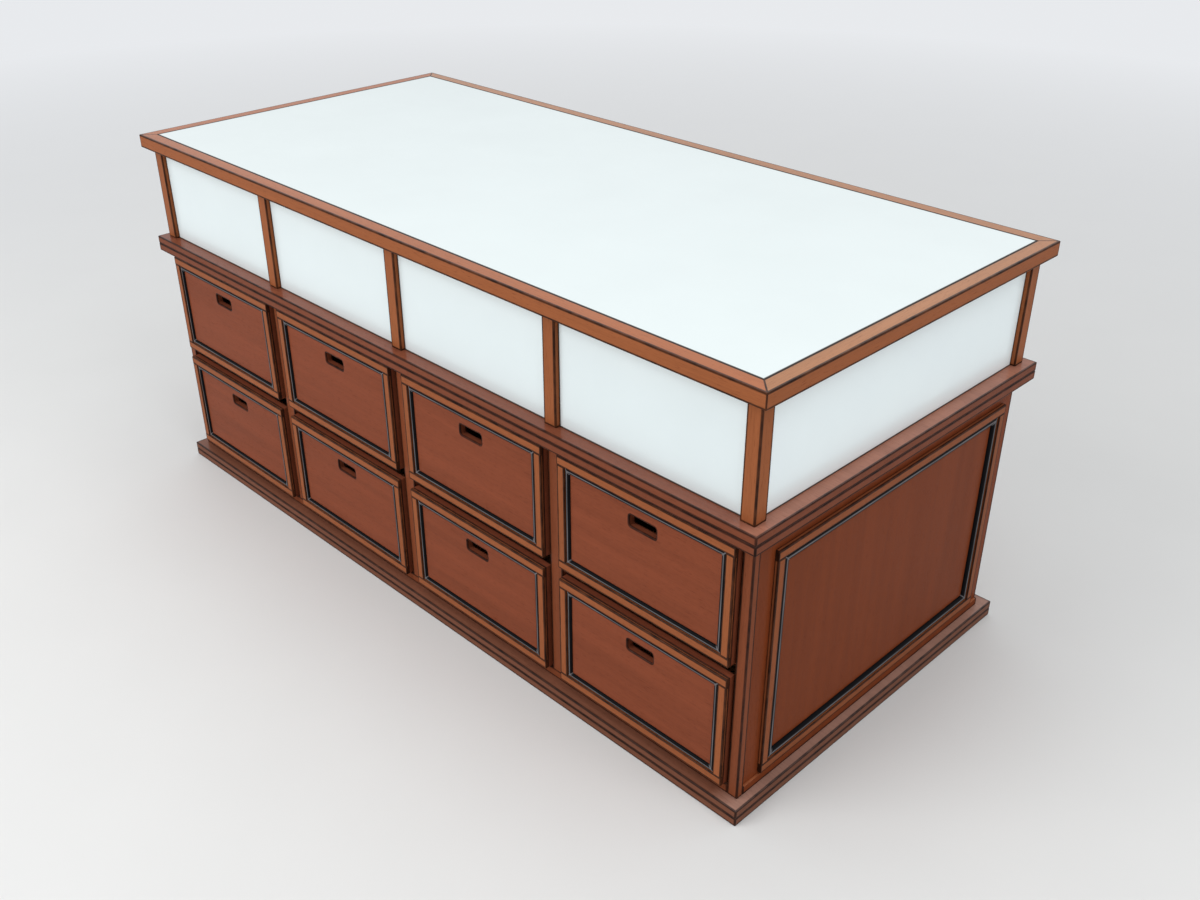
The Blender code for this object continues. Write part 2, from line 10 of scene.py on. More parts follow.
import bpy
import numpy as np
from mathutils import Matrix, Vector


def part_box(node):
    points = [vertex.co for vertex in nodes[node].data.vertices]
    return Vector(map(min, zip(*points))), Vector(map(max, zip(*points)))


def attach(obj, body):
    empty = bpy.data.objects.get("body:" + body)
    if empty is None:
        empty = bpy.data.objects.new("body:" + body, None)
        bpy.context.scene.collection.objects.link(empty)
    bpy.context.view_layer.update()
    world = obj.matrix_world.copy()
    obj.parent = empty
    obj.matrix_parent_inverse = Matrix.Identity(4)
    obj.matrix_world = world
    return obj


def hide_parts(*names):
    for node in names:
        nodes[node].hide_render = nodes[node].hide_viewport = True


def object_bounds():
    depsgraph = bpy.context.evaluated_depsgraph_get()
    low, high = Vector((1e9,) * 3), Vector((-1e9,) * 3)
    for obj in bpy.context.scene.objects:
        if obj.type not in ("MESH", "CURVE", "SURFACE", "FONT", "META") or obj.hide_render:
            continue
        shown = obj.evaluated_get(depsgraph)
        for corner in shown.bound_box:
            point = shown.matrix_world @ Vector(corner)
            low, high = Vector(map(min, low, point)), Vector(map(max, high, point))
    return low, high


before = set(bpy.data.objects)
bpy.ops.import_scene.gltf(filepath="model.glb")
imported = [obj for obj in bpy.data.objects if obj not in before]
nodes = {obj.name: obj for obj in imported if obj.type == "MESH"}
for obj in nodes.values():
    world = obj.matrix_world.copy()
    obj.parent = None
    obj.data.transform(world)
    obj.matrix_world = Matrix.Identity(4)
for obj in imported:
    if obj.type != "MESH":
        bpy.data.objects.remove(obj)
cad_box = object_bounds()
print("nodes in the frame:", len(nodes), "box:", np.round(cad_box, 4).tolist())

# %% [markdown]
# ## The camera
# The photograph looks down at the drawer side and the right end. The place, the aim and the lens were
# found by matching the counter's corners to the picture. A camera can also be tracked to an empty, but a
# place and an aim are easier to read.

# %% Camera
CAMERA_PLACE = (2.0155, -1.8423, 1.7998)
CAMERA_AIM = (-0.6130, 0.6125, -0.4991)
LENS_MM = 37.35
SENSOR_MM = 36


def new_object(name, data):
    """An object in the scene for a mesh, a camera or a lamp."""
    obj = bpy.data.objects.new(name, data)
    bpy.context.scene.collection.objects.link(obj)
    return obj


def aim(obj, place, direction):
    """Put a camera or a lamp at a place, looking in a direction."""
    obj.location = place
    obj.rotation_euler = Vector(direction).to_track_quat("-Z", "Y").to_euler()


lens = bpy.data.cameras.new("camera")
lens.lens = LENS_MM
lens.sensor_width = SENSOR_MM
camera = new_object("camera", lens)
aim(camera, CAMERA_PLACE, CAMERA_AIM)
bpy.context.scene.camera = camera
bpy.context.scene.view_settings.view_transform = "Standard"
print("camera", CAMERA_PLACE, "lens", LENS_MM)

# %% [markdown]
# ## Small helpers for shader nodes
# A shader is a graph of nodes. These helpers feed a node's inputs, add a node, and start a node group,
# an effect with named sockets that many materials share.

# %% Node and group helpers
def feed(tree, node, feeds):
    """Each entry names an input: a socket is linked to it, and anything else becomes its value."""
    for name, value in feeds.items():
        if isinstance(value, bpy.types.NodeSocket):
            tree.links.new(value, node.inputs[name])
        else:
            node.inputs[name].default_value = value


def add(tree, kind, feeds=None, **settings):
    """One node with these settings and feeds."""
    node = tree.nodes.new(kind)
    for name, value in settings.items():
        setattr(node, name, value)
    feed(tree, node, feeds or {})
    return node


def new_group(name, inputs, outputs):
    """An empty group with its named sockets, the given values inside it, and the node for its results."""
    tree = bpy.data.node_groups.new(name, "ShaderNodeTree")
    for way, sockets in (("INPUT", inputs), ("OUTPUT", outputs)):
        for label, kind in sockets.items():
            tree.interface.new_socket(label, in_out=way, socket_type=f"NodeSocket{kind}")
    return tree, tree.nodes.new("NodeGroupInput").outputs, tree.nodes.new("NodeGroupOutput")


print("nodes and groups can be made")

# %% [markdown]
# ## Sums, mixes and noise
# Written out node by node, these would fill pages, so each gets a helper. Noise is measured in grains per
# metre, so that it can have the size of a real fibre or cloud.

# %% Sum, mix and noise helpers
# The sockets that a Mix node uses for colours
MIX_SHARE, MIX_FIRST, MIX_SECOND, MIX_RESULT = 0, 6, 7, 2
# Most of a noise lies between these
NOISE_SPREAD = (0.3, 0.7)


def arithmetic(tree, operation, *values):
    """The result of one Math node."""
    return add(tree, "ShaderNodeMath", dict(enumerate(values)), operation=operation).outputs[0]


def vectors(tree, operation, *values):
    """The vector that one Vector Math node gives."""
    feeds = dict(enumerate(values))
    return add(tree, "ShaderNodeVectorMath", feeds, operation=operation).outputs["Vector"]


def axes_of(tree, vector):
    """A vector's three numbers."""
    return add(tree, "ShaderNodeSeparateXYZ", {0: vector}).outputs


def remap(tree, value, low, high, to_low=0.0, to_high=1.0):
    """A value between low and high, spread over the range from to_low to to_high and held inside it."""
    feeds = {"Value": value, "From Min": low, "From Max": high, "To Min": to_low, "To Max": to_high}
    return add(tree, "ShaderNodeMapRange", feeds).outputs["Result"]


def mixed(tree, share, first, second, blend="MIX"):
    """Two colours mixed by a share."""
    feeds = {MIX_SHARE: share, MIX_FIRST: first, MIX_SECOND: second}
    return add(tree, "ShaderNodeMix", feeds, data_type="RGBA", blend_type=blend).outputs[MIX_RESULT]


def noise(tree, place, per_metre, detail, output="Fac"):
    """Noise with its own number of grains per metre on each axis."""
    spread = vectors(tree, "MULTIPLY", place, per_metre)
    feeds = {"Vector": spread, "Scale": 1.0, "Detail": detail}
    return add(tree, "ShaderNodeTexNoise", feeds).outputs[output]


print("sums, mixes and noise can be made")

# %% [markdown]
# ## Colours picked
# A tone read off a picture is in sRGB, as on a screen, while a shader reckons in linear light. A colour
# picker converts it silently. A script has to do it itself.

# %% Colour helper
FULL_TONE = 255
# The sRGB curve is a straight line up to its start, and a power above
CURVE_START, CURVE_SLOPE, CURVE_LIFT, CURVE_POWER = 0.04045, 12.92, 0.055, 2.4


def linear(red, green, blue):
    """A colour from 0 to 255 in sRGB, as the linear colour that a shader takes."""
    share = np.array([red, green, blue]) / FULL_TONE
    above = ((share + CURVE_LIFT) / (1 + CURVE_LIFT)) ** CURVE_POWER
    return tuple(float(c) for c in np.where(share <= CURVE_START, share / CURVE_SLOPE, above))


def swung(tone, swing):
    """The darker and the paler colour that lie a share to both sides of a tone."""
    return [(*(np.array(linear(*tone)) * (1 + share)), 1) for share in (-swing, swing)]


print("middle grey in linear light:", linear(128, 128, 128)[0])

# %% [markdown]
# ## Grain of the hardwood
# The cabinet is of a red-brown hardwood under satin lacquer, with broad soft stripes, fine fibres that
# run with them, and short dark pores. A picture of a board would do too, but it repeats. Three layers of
# noise, each stretched along the grain, never do. The first axis is the grain.

# %% Hardwood grain group
WAVERS_PER_METRE = (1.6, 7, 7)
STRIPES_PER_METRE = (1.3, 30, 30)
FIBRES_PER_METRE = (9, 260, 260)
PORES_PER_METRE = (55, 1100, 1100)
NOISE_MIDDLE = 0.5
GRAIN_DRIFT = 0.010
STRIPE_SHARE = 0.6
TONE_SPREAD = (0.34, 0.66)
PORE_SPREAD = (0.60, 0.72)
PORE_TINT = (0.42, 0.34, 0.30, 1)
PORE_STRENGTH = 0.5
SATIN_ROUGHNESS, FIBRE_ROUGHNESS, PORE_ROUGHNESS = 0.28, 0.16, 0.15
FIBRE_HEIGHT, PORE_DEPTH = 0.3, 0.8


def build_grain_group():
    """Colour, roughness and relief of wood whose grain runs along the first axis of Place."""
    sockets = {"Place": "Vector", "Pale Wood": "Color", "Dark Wood": "Color"}
    results = {"Colour": "Color", "Roughness": "Float", "Relief": "Float"}
    tree, given, result = new_group("hardwood_grain", sockets, results)
    waver = noise(tree, given["Place"], WAVERS_PER_METRE, detail=2, output="Color")
    centred = vectors(tree, "SUBTRACT", waver, [NOISE_MIDDLE] * 3)
    drift = vectors(tree, "MULTIPLY", centred, [GRAIN_DRIFT] * 3)
    place = vectors(tree, "ADD", given["Place"], drift)
    stripes = noise(tree, place, STRIPES_PER_METRE, detail=3)
    fibres = noise(tree, place, FIBRES_PER_METRE, detail=3)
    pores = remap(tree, noise(tree, place, PORES_PER_METRE, detail=1), *PORE_SPREAD)
    fine = arithmetic(tree, "MULTIPLY", fibres, 1 - STRIPE_SHARE)
    tone = arithmetic(tree, "MULTIPLY_ADD", stripes, STRIPE_SHARE, fine)
    wood = mixed(tree, remap(tree, tone, *TONE_SPREAD), given["Dark Wood"], given["Pale Wood"])
    pored = mixed(tree, arithmetic(tree, "MULTIPLY", pores, PORE_STRENGTH), wood, PORE_TINT, "MULTIPLY")
    smooth = arithmetic(tree, "MULTIPLY_ADD", fibres, FIBRE_ROUGHNESS, SATIN_ROUGHNESS)
    rough = arithmetic(tree, "MULTIPLY_ADD", pores, PORE_ROUGHNESS, smooth)
    raised = arithmetic(tree, "MULTIPLY", fibres, FIBRE_HEIGHT)
    relief = arithmetic(tree, "MULTIPLY_ADD", pores, -PORE_DEPTH, raised)
    feed(tree, result, {"Colour": pored, "Roughness": rough, "Relief": relief})
    return tree


GRAIN = build_grain_group()
print("group", GRAIN.name, "with", len(GRAIN.nodes), "nodes")

# %% [markdown]
# ## Edges of a board
# On the counter every arris and every joint reads as a dark line, so a shader has to know where the edges
# are. A Bevel node could find them, but slowly. A board is a box, so a point is at an arris where it is
# near two faces at once, and at a border where it is near any.

# %% Edge group
def build_edges_group():
    """Two masks that rise from 0, at Reach from the box's edges, to 1 on them.

    A point's distance from each pair of faces is its offset from the middle, less half the size. The second
    largest of the three tells how near an arris is, and the largest how near a border is.
    """
    sockets = {"Place": "Vector", "Middle": "Vector", "Half Size": "Vector", "Reach": "Float"}
    tree, given, result = new_group("board_edges", sockets, {"Arris": "Float", "Border": "Float"})
    offset = vectors(tree, "ABSOLUTE", vectors(tree, "SUBTRACT", given["Place"], given["Middle"]))
    x, y, z = axes_of(tree, vectors(tree, "SUBTRACT", offset, given["Half Size"]))
    lesser = arithmetic(tree, "MINIMUM", x, y)
    greater = arithmetic(tree, "MAXIMUM", x, y)
    second = arithmetic(tree, "MAXIMUM", lesser, arithmetic(tree, "MINIMUM", greater, z))
    largest = arithmetic(tree, "MAXIMUM", greater, z)
    start = arithmetic(tree, "MULTIPLY", given["Reach"], -1.0)
    masks = {"Arris": remap(tree, second, start, 0.0), "Border": remap(tree, largest, start, 0.0)}
    feed(tree, result, masks)
    return tree


EDGES = build_edges_group()


def edge_masks(tree, place, low, high, reach):
    """The edge group's masks for a box between two corners."""
    feeds = {"Place": place, "Middle": (low + high) / 2, "Half Size": (high - low) / 2, "Reach": reach}
    return add(tree, "ShaderNodeGroup", feeds, node_tree=EDGES).outputs


print("group", EDGES.name)

# %% [markdown]
# ## Dark glaze in the joints
# A finisher gets the dark lines with a thin glaze that is wiped off the flats and stays along the edges.
# Even lines would look printed, so this group breaks the glaze up, as a hand leaves it.

# %% Glaze group
GLAZE = (*linear(26, 16, 13), 1)
GLAZE_STRENGTH = 0.96
LINE_FULL = 0.42
WIPES_PER_METRE = (35, 35, 35)
WIPED = (0.75, 1.0)


def build_glaze_group():
    """A colour with glaze over it where Arris is high, more or less of it from place to place."""
    sockets = {"Colour": "Color", "Arris": "Float", "Place": "Vector", "Glaze": "Color"}
    tree, given, result = new_group("joint_glaze", sockets, {"Colour": "Color"})
    wiped = remap(tree, noise(tree, given["Place"], WIPES_PER_METRE, detail=2), *NOISE_SPREAD, *WIPED)
    line = remap(tree, given["Arris"], 0.0, LINE_FULL, 0.0, GLAZE_STRENGTH)
    share = arithmetic(tree, "MULTIPLY", line, wiped)
    feed(tree, result, {"Colour": mixed(tree, share, given["Colour"], given["Glaze"])})
    return tree


JOINT_GLAZE = build_glaze_group()
print("group", JOINT_GLAZE.name)

# %% [markdown]
# ## Clear coat and painted light on the upper faces
# The ledges and the tops of the rails are painted paler than the upright faces: painted light from above.
# They also get a clear coat that mirrors the sky. The right end is painted palest, as painted light from
# that side. More light from above would bleach the glass too, so one group tells how far a face looks up,
# and the wood gets its clear coat and its painted light from that.

# %% Upper faces group
UPPER_FACES = (0.60, 0.95)
# Multipliers of the wood's colour on upper faces: painted light, paler on top and palest toward the right
# end
UPPER_PAINTED_LIGHT = (1.23, 1.27, 1.34, 1)
RIGHT_END_PAINTED_LIGHT = (2.05, 3.00, 4.05, 1)
RAIL_PAINTED_LIGHT = (1.29, 1.82, 2.30, 1)
RIGHT_END_LIGHT_SPAN = (0.93, 0.985)


def build_upper_group():
    """A mask that is 1 on faces that look up and 0 on upright ones."""
    tree, _, result = new_group("upper_faces", {}, {"Upper": "Float"})
    height = axes_of(tree, add(tree, "ShaderNodeNewGeometry").outputs["Normal"])["Z"]
    feed(tree, result, {"Upper": remap(tree, height, *UPPER_FACES)})
    return tree


def painted_upper_light(tree, place):
    """The painted light on a long board's upper face: palest at its right end, and less along the rest."""
    return mixed(tree, remap(tree, axes_of(tree, place)["X"], *RIGHT_END_LIGHT_SPAN), UPPER_PAINTED_LIGHT, RIGHT_END_PAINTED_LIGHT)


UPPER = build_upper_group()
print("group", UPPER.name)

# %% [markdown]
# ## The wood finish
# Each kind of member has its own tone: orange-brown frames, darker panels, lighter boards. The grain
# swings a little to both sides of it. One function joins the groups into a lacquered wood for them all.

# %% Wood shader
TONES = {
    "board": (120, 66, 45),
    "plinth": (117, 73, 54),
    "stile": (126, 68, 43),
    "frame": (148, 85, 51),
    "front": (129, 67, 44),
    # The end boards' own darker wood, set a little darker still: that part is painted shade on the right
    # end
    "end": (119, 57, 29),
    "end_frame": (137, 77, 46),
    "inside": (178, 132, 90),
    "post": (152, 89, 54),
    # The posts' tone, for the rails whose tops get more painted light
    "painted_light_rail": (152, 89, 54),
}
GRAIN_SWING = 0.11
SPECULAR_LEVEL = 0.03
COAT_UPRIGHT, COAT_UPPER = 0.04, 0.50
COAT_ROUGHNESS = 0.2
BUMP_STRENGTH = 0.35
BUMP_DISTANCE = 0.0004


def new_material(name):
    """A material with a plain Principled shader, and its tree."""
    material = bpy.data.materials.new(name)
    material.use_nodes = True
    return material, material.node_tree


def wood_shader(tree, tone, place, arris, glaze, paling):
    """Grain, glaze and painted light on the upper faces into a lacquered shader. place and arris are
    sockets in this tree.
    """
    dark, pale = swung(TONES[tone], GRAIN_SWING)
    feeds = {"Place": place, "Pale Wood": pale, "Dark Wood": dark}
    grain = add(tree, "ShaderNodeGroup", feeds, node_tree=GRAIN).outputs
    feeds = {"Colour": grain["Colour"], "Arris": arris, "Place": place, "Glaze": glaze}
    glazed = add(tree, "ShaderNodeGroup", feeds, node_tree=JOINT_GLAZE).outputs["Colour"]
    relief = {"Height": grain["Relief"], "Strength": BUMP_STRENGTH, "Distance": BUMP_DISTANCE}
    upper = add(tree, "ShaderNodeGroup", node_tree=UPPER).outputs["Upper"]
    feeds = {
        # Upper faces are multiplied paler here: painted light
        "Base Color": mixed(tree, upper, glazed, paling, "MULTIPLY"),
        "Roughness": grain["Roughness"],
        "Normal": add(tree, "ShaderNodeBump", relief).outputs["Normal"],
        "Coat Weight": remap(tree, upper, 0.0, 1.0, COAT_UPRIGHT, COAT_UPPER),
        "Coat Roughness": COAT_ROUGHNESS,
        "Specular IOR Level": SPECULAR_LEVEL,
    }
    feed(tree, tree.nodes["Principled BSDF"], feeds)


print("tones of wood:", *TONES)

# %% [markdown]
# ## Wood on the frame's solids
# The boards, stiles, posts and mullions stay as they are and only get their wood. A solid carries no
# grain direction, so its grain follows the axis that it runs along, and each is cut from its own place in
# the log. Its edges come from its box, or from the part of it that shows.

# %% Wood for boards
AXES_FROM_GRAIN = {"X": "XYZ", "Z": "ZXY"}
LOG_STEP = np.array([0.83, 0.47, 0.31])
GLAZE_REACH = 0.0046
MIDDLE_STILE = 0.035
FIT = 0.0003
END_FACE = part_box("end_frame_right")[0].x - FIT


def shown_box(node):
    """The box whose edges show: a partition shows its stile, and an end board its recessed face."""
    low, high = (corner.copy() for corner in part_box(node))
    if node.startswith("partition"):
        middle = (low.x + high.x) / 2
        low.x, high.x = middle - MIDDLE_STILE / 2, middle + MIDDLE_STILE / 2
    if node.startswith("end_board"):
        low.x, high.x = max(low.x, -END_FACE), min(high.x, END_FACE)
    return low, high


def board_wood(node, tone, axis, log):
    """Wood for one solid, from its own place in the log, with glaze on its box's edges."""
    material, tree = new_material(f"{node}_wood")
    place = add(tree, "ShaderNodeTexCoord").outputs["Object"]
    feeds = {"Vector": place, "Location": log * LOG_STEP}
    shifted = axes_of(tree, add(tree, "ShaderNodeMapping", feeds).outputs["Vector"])
    order = dict(enumerate(shifted[name] for name in AXES_FROM_GRAIN[axis]))
    along = add(tree, "ShaderNodeCombineXYZ", order).outputs["Vector"]
    masks = edge_masks(tree, place, *shown_box(node), GLAZE_REACH)
    # The board's upper faces get painted light, palest at its right end
    wood_shader(tree, tone, along, masks["Arris"], GLAZE, painted_upper_light(tree, place))
    return material


# Wooden solids: their tone, and the axis of the grain
WOODS = {
    ("plinth_lower_board", "plinth_upper_board"): ("plinth", "X"),
    ("cornice_lower_board", "cornice_upper_board"): ("board", "X"),
    ("corner_stile_left", "corner_stile_right"): ("stile", "Z"),
    ("bottom_rail", "middle_rail"): ("stile", "X"),
    ("partition_1", "partition_2", "partition_3"): ("stile", "Z"),
    ("end_board_left", "end_board_right", "back_panel"): ("end", "Z"),
    tuple(n for n in nodes if "post" in n or "mullion" in n): ("post", "Z"),
}
wooden = [(node, *wood) for members, wood in WOODS.items() for node in members]
for log, (node, tone, axis) in enumerate(wooden):
    slots = nodes[node].data.materials
    slots.clear()
    slots.append(board_wood(node, tone, axis, log))
print("wooden solids dressed:", len(wooden))

# %% [markdown]
# ## Opal glass
# The panes are pale blue-white and can't be seen through, so they are opal glass: milky all through,
# softly polished. A see-through shader would show an inside that the picture hides. A white base is
# enough, with faint clouds in it and faint smears in the polish.

# %% Opal glass function
CLOUDS_PER_METRE = (5, 5, 5)
SMEARS_PER_METRE = (9, 9, 9)
OPAL_CLOUD = (0.985, 1.01)
OPAL_ROUGHNESS = (0.14, 0.22)


def opal_glass(name, colour, mask_of, mark, mark_roughness):
    """Opal glass with marks of another tone and roughness where a mask, made for this tree, says so."""
    material, tree = new_material(f"{name}_opal")
    place = add(tree, "ShaderNodeTexCoord").outputs["Object"]
    milk = np.array(linear(*colour))
    thin, thick = ((*np.minimum(milk * share, 1), 1) for share in OPAL_CLOUD)
    cloud = remap(tree, noise(tree, place, CLOUDS_PER_METRE, detail=3), *NOISE_SPREAD)
    mask = mask_of(tree, place)
    marked = mixed(tree, mask, mixed(tree, cloud, thin, thick), (*linear(*mark), 1))
    smears = noise(tree, place, SMEARS_PER_METRE, detail=2)
    polish = remap(tree, smears, *NOISE_SPREAD, *OPAL_ROUGHNESS)
    rough = remap(tree, mask, 0.0, 1.0, polish, mark_roughness)
    feed(tree, tree.nodes["Principled BSDF"], {"Base Color": marked, "Roughness": rough})
    return material


print("opal glass is ready")

# %% [markdown]
# ## Putty round the panes
# Where a pane sits in its groove, a thin line of dark putty shows round it. Strips of geometry would lie
# almost in the pane's face and flicker, so the shader draws it along the edges of the opening.

# %% Panes with putty
# The end panes are painted paler and the top pane a shade darker than the front panes: painted light that
# evens out how the lamps light them
OPAL = {"top_pane": (224, 233, 232), "front_pane": (226, 236, 237), "end_pane": (243, 253, 255)}
PUTTY = (52, 42, 37)
PUTTY_ROUGHNESS = 0.6
PUTTY_REACH = 0.0036
THROUGH = 1.0
UPRIGHTS = ["front_post_left", "mullion_1", "mullion_2", "mullion_3", "front_post_right"]


def pane_opening(node):
    """The opening that a pane shows in, between the members that hold it. The top pane shows whole."""
    low, high = (corner.copy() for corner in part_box(node))
    thin = min(range(3), key=lambda axis: high[axis] - low[axis])
    kind, _, place = node.rpartition("_")
    if kind != "top":
        low.z, high.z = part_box("cornice_upper_board")[1].z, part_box("top_rail_front")[0].z
    if kind == "end_pane":
        low.y, high.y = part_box(f"front_post_{place}")[1].y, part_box(f"rear_post_{place}")[0].y
    if kind == "front_pane":
        before, after = UPRIGHTS[int(place) - 1:int(place) + 1]
        low.x, high.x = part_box(before)[1].x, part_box(after)[0].x
    low[thin] -= THROUGH
    high[thin] += THROUGH
    return low, high


def putty_round(node):
    """The mask of the putty line round one pane."""
    low, high = pane_opening(node)

    def mask(tree, place):
        return remap(tree, edge_masks(tree, place, low, high, PUTTY_REACH)["Border"], 0.0, LINE_FULL)

    return mask


panes = {}
for node in nodes:
    colour = next((tone for kind, tone in OPAL.items() if node.startswith(kind)), None)
    if colour:
        panes[node] = opal_glass(node, colour, putty_round(node), PUTTY, PUTTY_ROUGHNESS)
print("opal glass for panes:", len(panes))

# %% [markdown]
# ## Sections with rounded corners
# Rails, frames, boards, panes and beads are all one kind of thing: a section carried along a line. We
# draw its corners and round each with a quarter circle, as sandpaper leaves them. A box with a Bevel
# modifier looks alike, but can't tell a shader where its edges are. Here a mask goes with the outline.

# %% Section functions
ARC_STEPS = 4
ARRIS_MARGIN = 0.0022
HIDDEN_RADIUS = 0.0006


def unit(arrows):
    """The arrows at length one."""
    return arrows / np.linalg.norm(arrows, axis=-1, keepdims=True)


def rectangle(width, height):
    """The corners of a rectangle, anticlockwise from the origin."""
    return [(0, 0), (width, 0), (width, height), (0, height)]


def filleted(corners, radii, margin=ARRIS_MARGIN):
    """An outline whose right-angled corners are rounded.

    Each corner becomes a point on the way in, a quarter circle that touches both sides, and a point on the
    way out, up to a margin past the circle. The second result is 1 on the quarter circles and 0 elsewhere.
    """
    corners = np.array(corners, float)
    radii = np.array(radii, float)[:, None]
    before = unit(np.roll(corners, 1, axis=0) - corners)
    after = unit(np.roll(corners, -1, axis=0) - corners)
    centre = corners + radii * (before + after)
    turn = np.linspace(0, np.pi / 2, ARC_STEPS + 1)[None, :, None]
    spokes = after[:, None] * np.cos(turn) + before[:, None] * np.sin(turn)
    arc = centre[:, None] - radii[:, None] * spokes
    reach = radii + np.minimum(2 * radii, margin)
    way_in, way_out = corners + reach * before, corners + reach * after
    outline = np.concatenate([way_in[:, None], arc, way_out[:, None]], axis=1)
    arris = np.zeros(outline.shape[:2])
    arris[:, 1:-1] = 1
    return outline.reshape(-1, 2), arris.ravel()


def outward(outline):
    """At each point of an anticlockwise outline, the way out, square to the line between its neighbours."""
    along = np.roll(outline, -1, axis=0) - np.roll(outline, 1, axis=0)
    return unit(np.stack([along[:, 1], -along[:, 0]], axis=1))


print("points at a rounded corner:", ARC_STEPS + 3)

# %% [markdown]
# ## Rings and eased ends
# A surface is made of rings of points, joined by four-sided faces. Where a stick ends, its last rings
# shrink by a small radius, so it is eased, and two sticks that meet show a fine groove.

# %% Ring functions
END_EASE = 0.0005


def eased(radius):
    """The rings at an eased end: how far each is drawn in, and how far along it stands.

    Both follow a quarter circle of that radius. A last ring, not drawn in, stands a margin further on.
    """
    turn = np.linspace(0, np.pi / 2, ARC_STEPS)
    drawn_in = np.append(radius * (1 - np.sin(turn)), 0)
    advance = np.append(radius * (1 - np.cos(turn)), radius + ARRIS_MARGIN)
    return drawn_in, advance


def ring_faces(rings, around):
    """Four-sided faces between neighbouring rings of points, each ring closed on itself."""
    ring, step = np.meshgrid(np.arange(rings - 1), np.arange(around), indexing="ij")
    following = (step + 1) % around
    corners = [ring * around + step, ring * around + following]
    corners += [(ring + 1) * around + following, (ring + 1) * around + step]
    return np.stack(corners, axis=-1).reshape(-1, 4)


def capped_faces(rings, around):
    """The faces between rings, with one face more to close each end."""
    first = np.arange(around)
    last = first + (rings - 1) * around
    return ring_faces(rings, around).tolist() + [first[::-1].tolist(), last.tolist()]


print("rings at an eased end:", ARC_STEPS + 1)

# %% [markdown]
# ## Sticks of moulding
# A joiner cuts rails and beads from one long moulding, square or to a mitre. A curve with a bevel profile
# would carry a section too, but it has no mitre. So we lay the copies ourselves, and keep each point's
# distance along the stick: the grain follows it.

# %% Stick function
SQUARE, MITRED = (0, 0), (1, 1)


def stick(section, start, end, across, up, mitres=SQUARE, ease=END_EASE, log=0):
    """A section carried from start to end: its points, faces, grain and mask.

    The section's first axis lies along across and its second along up. A point stands at its distance along
    the line, plus a mitre's slope times its place across, so that a slope of 1 cuts the end at 45 degrees.
    """
    outline, arris = section
    start, end, across, up = (np.array(v, float) for v in (start, end, across, up))
    length = np.linalg.norm(end - start)
    along = (end - start) / length
    drawn_in, advance = eased(ease)
    shrink = np.concatenate([drawn_in, drawn_in[::-1]])
    station = np.concatenate([advance, length - advance[::-1]])
    slope = np.repeat([mitres[0], -mitres[1]], len(advance))
    drawn = outline - shrink[:, None, None] * outward(outline)
    distance = station[:, None] + slope[:, None] * drawn[..., 0]
    points = start + distance[..., None] * along + drawn[..., :1] * across + drawn[..., 1:] * up
    rings, around = distance.shape
    faces = capped_faces(rings, around)
    if np.dot(np.cross(across, up), along) < 0:
        faces = [face[::-1] for face in faces]
    at_end = np.zeros(rings)
    at_end[: len(advance) - 1] = at_end[1 - len(advance):] = 1
    grain = np.stack([distance, drawn[..., 0], drawn[..., 1]], axis=-1) + log * LOG_STEP
    mask = np.maximum(at_end[:, None], arris).ravel()
    return points.reshape(-1, 3), faces, grain.reshape(-1, 3), mask


print("rings along a stick:", 2 * (ARC_STEPS + 1))

# %% [markdown]
# ## From arrays to a piece
# The arrays of one or more sticks become one mesh. Smooth shading alone would bend the light across the
# flats, so a Weighted Normal modifier lets each large flat rule its corners. The piece rides on the body
# that carries it, and stands in for the solids that it replaces.

# %% Piece function
SHARP_ANGLE = math.radians(40)


def piece(name, shapes, material, body, replaced):
    """One object made of the shapes' arrays, riding on a body in place of the replaced solids."""
    points, faces, grains, masks = zip(*shapes)
    shifts = np.cumsum([0, *map(len, points[:-1])])
    joined = []
    for shape_faces, shift in zip(faces, shifts):
        joined += [[corner + int(shift) for corner in face] for face in shape_faces]
    mesh = bpy.data.meshes.new(name)
    mesh.from_pydata(np.concatenate(points).tolist(), [], joined)
    grain = mesh.attributes.new("grain", "FLOAT_VECTOR", "POINT")
    grain.data.foreach_set("vector", np.concatenate(grains).ravel())
    arris = mesh.attributes.new("arris", "FLOAT", "POINT")
    arris.data.foreach_set("value", np.concatenate(masks))
    mesh.materials.append(material)
    mesh.shade_smooth()
    mesh.set_sharp_from_angle(angle=SHARP_ANGLE)
    obj = new_object(name, mesh)
    obj.modifiers.new("flats", "WEIGHTED_NORMAL").keep_sharp = True
    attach(obj, body)
    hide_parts(*replaced)


def solid_box(node):
    """The two corners of a solid's box, as arrays."""
    return [np.array(corner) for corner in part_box(node)]


print("pieces can be made")

# %% [markdown]
# ## Fixed panes
# A glazier grinds the sharp edges off a pane. A pane is a stick too: its section is its thickness by its
# shorter side. As one closed surface it takes a texture without a seam across its face, which the loose
# triangles of a solid don't.

# %% Panes with ground edges
PANE_EASE = 0.0006
AXES = np.eye(3)


def ground_pane(low, high):
    """A stick whose section lies along the pane's two smaller sizes, carried along its largest."""
    size = high - low
    thin, short, long = np.argsort(size)
    section = filleted(rectangle(size[thin], size[short]), [PANE_EASE] * 4)
    return stick(section, low, low + size[long] * AXES[long], AXES[thin], AXES[short])


for node, glass in panes.items():
    piece(f"opal_{node}", [ground_pane(*solid_box(node))], glass, "cabinet", [node])
print("fixed panes:", len(panes))

# %% [markdown]
# ## Bars of the applied frames
# Each drawer front and each end carries a flat frame: two rails run the full width, and two stiles stand
# between them. On a bench the bars are cut from strips and their joints show, so here each bar is a
# stick. The line of glaze is wider along its outer edge.

# %% Frame bars
FRAME_WIDTH = 0.020
FRAME_ARRIS, OUTER_ARRIS = 0.0011, 0.0015
FRAME_LINE = 0.0030
X, Y, Z = AXES


def frame_section(thickness):
    """A bar's outline: in from the frame's outer edge, and out from its back."""
    radii = [HIDDEN_RADIUS, HIDDEN_RADIUS, FRAME_ARRIS, OUTER_ARRIS]
    return filleted(rectangle(FRAME_WIDTH, thickness), radii, FRAME_LINE)


